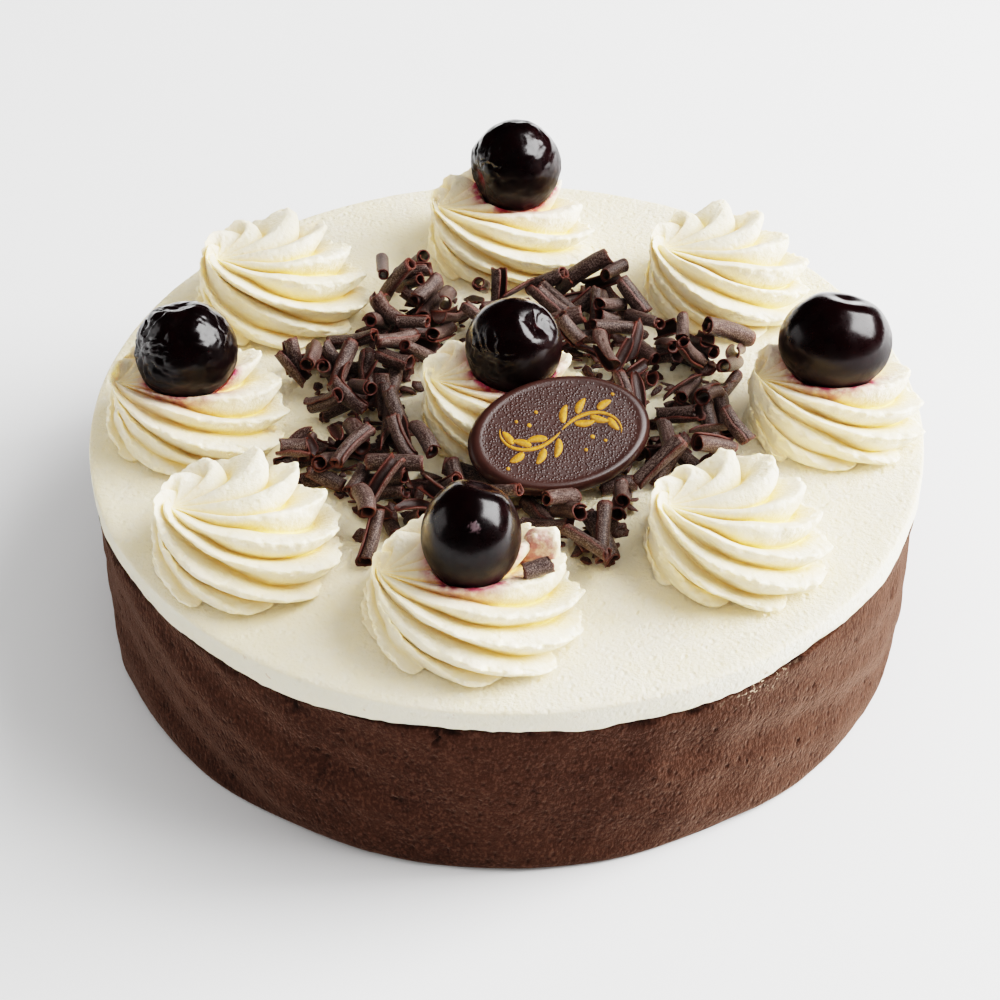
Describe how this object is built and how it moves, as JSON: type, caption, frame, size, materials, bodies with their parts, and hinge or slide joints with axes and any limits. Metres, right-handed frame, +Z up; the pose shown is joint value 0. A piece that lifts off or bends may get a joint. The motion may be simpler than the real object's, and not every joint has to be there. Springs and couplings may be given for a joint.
{
  "type": "black forest cake",
  "caption": "Whole round black forest cake: dark sponge under set cream, topped with piped rosettes, dark cherries, chocolate curls and an oval chocolate plaque.",
  "frame": {"origin": "centre of the sponge's flat underside", "axes": "+Z up out of the cake's top; -Y towards the side that the plaque faces; +X to the right seen from there"},
  "size_m": [0.2, 0.2, 0.0863],
  "materials": {
    "sponge": "matte dark brown chocolate sponge with a fine crumb",
    "cream": "soft satin pale cream",
    "cherry": "wet gloss, near black with a maroon tinge",
    "chocolate": "satin dark chocolate with a fine pebbled face"
  },
  "bodies": {
    "root": {"sponge": "sponge", "cream_layer_with_curls": "cream", "plaque": "chocolate", "cherry_front": "cherry", "rosette_front": "cream", "rosette_front_right": "cream", "cherry_right": "cherry", "rosette_right": "cream", "rosette_back_right": "cream", "cherry_back": "cherry", "rosette_back": "cream", "rosette_back_left": "cream", "cherry_left": "cherry", "rosette_left": "cream", "rosette_front_left": "cream", "cherry_centre": "cherry", "rosette_centre": "cream"}
  },
  "joints": []
}
